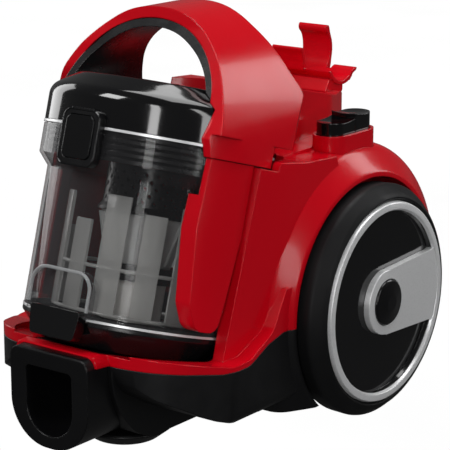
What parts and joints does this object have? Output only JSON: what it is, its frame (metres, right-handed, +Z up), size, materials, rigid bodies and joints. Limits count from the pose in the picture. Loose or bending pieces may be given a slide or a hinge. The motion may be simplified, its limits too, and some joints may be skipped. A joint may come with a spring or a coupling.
{
  "type": "vacuum cleaner",
  "caption": "Compact bagless canister vacuum cleaner: lift-out cyclone dust bin with arched carrying handle, large rear wheels, swivelling front castor and low front hose inlet.",
  "frame": {"origin": "centre of the bounding box at floor level", "axes": "-Y is the front, where the hose inlet is, +X is the side with the buttons, +Z is up"},
  "size_m": [0.257, 0.365, 0.316],
  "materials": {
    "housing_red": "high-gloss injection moulded ABS",
    "bin_red": "high-gloss injection moulded ABS",
    "chassis_black": "fine spark-eroded matte texture",
    "port_black": "semi-matte moulded",
    "lid_black": "gloss sides with a matte top",
    "gloss_black": "gloss",
    "clear_bin": "clear, lightly smoked polycarbonate",
    "tyre_rubber": "matte rubber with a fine moulding grain",
    "silver": "satin silver paint",
    "filter_black": "matte moulded",
    "cyclone_grey": "satin moulded",
    "tube_pale": "satin moulded",
    "filter_white": "pleated filter paper",
    "seal_rubber": "soft matte",
    "steel": "ground",
    "inner_plastic": "plain moulded",
    "fan_alu": "cast",
    "carbon": "carbon",
    "castor_grey": "hard wheel"
  },
  "bodies": {
    "body": {"lower_chassis": "chassis_black", "upper_housing": "housing_red", "chassis_screws": "steel", "inlet_port": "port_black", "inlet_seal": "seal_rubber", "inlet_duct": "inner_plastic", "duct_seal": "seal_rubber", "motor_bucket": "inner_plastic", "fan_cover": "inner_plastic", "motor_stator": "steel", "motor_mount_rear": "seal_rubber", "motor_mount_front": "seal_rubber", "carbon_brushes": "carbon", "exhaust_grille": "chassis_black", "exhaust_filter": "filter_white", "cord_gland": "chassis_black", "reel_frame": "inner_plastic", "button_shroud": "housing_red", "power_switch": "inner_plastic", "tube_clip": "housing_red", "axle_left": "steel", "axle_right": "steel"},
    "fan_rotor": {"motor_rotor": "steel", "fan_impeller": "fan_alu"},
    "reel": {"reel_drum": "inner_plastic", "reel_spring": "steel"},
    "brake_rocker": {"reel_brake": "inner_plastic"},
    "power_key": {"power_button": "gloss_black"},
    "rewind_key": {"rewind_button": "gloss_black"},
    "wheel_right": {"tyre_right": "tyre_rubber", "wheel_rim_right": "gloss_black", "wheel_trim_right": "silver", "hub_cap_right": "gloss_black", "wheel_bush_right": "inner_plastic"},
    "wheel_left": {"tyre_left": "tyre_rubber", "wheel_rim_left": "gloss_black", "wheel_trim_left": "silver", "hub_cap_left": "gloss_black", "wheel_bush_left": "inner_plastic"},
    "castor": {"castor_fork": "chassis_black"},
    "castor_roller": {"castor_wheel": "castor_grey"},
    "bin": {"bin_container": "clear_bin", "bin_trim_ring": "silver", "bin_arm_left": "bin_red", "bin_arm_right": "bin_red"},
    "bin_flap": {"bin_base": "gloss_black", "bin_base_seal": "seal_rubber"},
    "flap_catch": {"bin_catch": "gloss_black"},
    "lid_unit": {"lid": "lid_black", "lid_trim": "silver", "filter_carrier": "filter_black", "lid_filter": "filter_white", "cyclone_shroud": "filter_black", "cyclone_cone": "cyclone_grey", "cyclone_collar": "filter_black", "dust_tube": "tube_pale", "carry_handle": "bin_red", "handle_grip": "gloss_black", "latch_frame": "gloss_black"},
    "latch_key": {"lid_latch": "gloss_black"}
  },
  "joints": [
    {"name": "right_wheel_spin", "type": "hinge", "parent": "body", "child": "wheel_right", "pos_m": [0.1, 0.0605, 0.0895], "axis": [1, 0, 0], "continuous": true},
    {"name": "left_wheel_spin", "type": "hinge", "parent": "body", "child": "wheel_left", "pos_m": [-0.1, 0.0605, 0.0895], "axis": [1, 0, 0], "continuous": true},
    {"name": "castor_swivel", "type": "hinge", "parent": "body", "child": "castor", "pos_m": [0, -0.1, 0.01], "axis": [0, 0, 1], "continuous": true},
    {"name": "castor_roll", "type": "hinge", "parent": "castor", "child": "castor_roller", "pos_m": [0, -0.084, 0.007], "axis": [1, 0, 0], "continuous": true},
    {"name": "bin_lift", "type": "slide", "parent": "body", "child": "bin", "axis": [0, 0.2823, 0.9593], "range_m": [0, 0.45]},
    {"name": "flap_open", "type": "hinge", "parent": "bin", "child": "bin_flap", "pos_m": [0, -0.02278, 0.06499], "axis": [1, 0, 0], "range_deg": [0, 80]},
    {"name": "catch_pull", "type": "hinge", "parent": "bin", "child": "flap_catch", "pos_m": [0, -0.17285, 0.11646], "axis": [-1, 0, 0], "range_deg": [0, 18], "stiffness_Nm_per_rad": 0.05},
    {"name": "lid_lift", "type": "slide", "parent": "bin", "child": "lid_unit", "axis": [0, 0.2823, 0.9593], "range_m": [0, 0.12]},
    {"name": "latch_press", "type": "slide", "parent": "lid_unit", "child": "latch_key", "axis": [0, 0.9593, -0.2823], "range_m": [0, 0.0018], "stiffness_N_per_m": 400},
    {"name": "power_press", "type": "slide", "parent": "body", "child": "power_key", "axis": [0, 0, -1], "range_m": [0, 0.003], "stiffness_N_per_m": 500},
    {"name": "rewind_press", "type": "slide", "parent": "body", "child": "rewind_key", "axis": [0, 0, -1], "range_m": [0, 0.003], "stiffness_N_per_m": 500},
    {"name": "brake_rock", "type": "hinge", "parent": "body", "child": "brake_rocker", "pos_m": [0.056, 0.077, 0.191], "axis": [0, 1, 0], "range_deg": [0, 7.5]},
    {"name": "fan_spin", "type": "hinge", "parent": "body", "child": "fan_rotor", "pos_m": [0, 0.092, 0.064], "axis": [1, 0, 0], "continuous": true},
    {"name": "reel_spin", "type": "hinge", "parent": "body", "child": "reel", "pos_m": [0, 0.092, 0.147], "axis": [1, 0, 0], "continuous": true}
  ],
  "couplings": [
    {"joint": "flap_open", "follows": "bin_lift", "rad_per_m": 3.1},
    {"joint": "brake_rock", "follows": "rewind_press", "rad_per_m": 41.5}
  ]
}
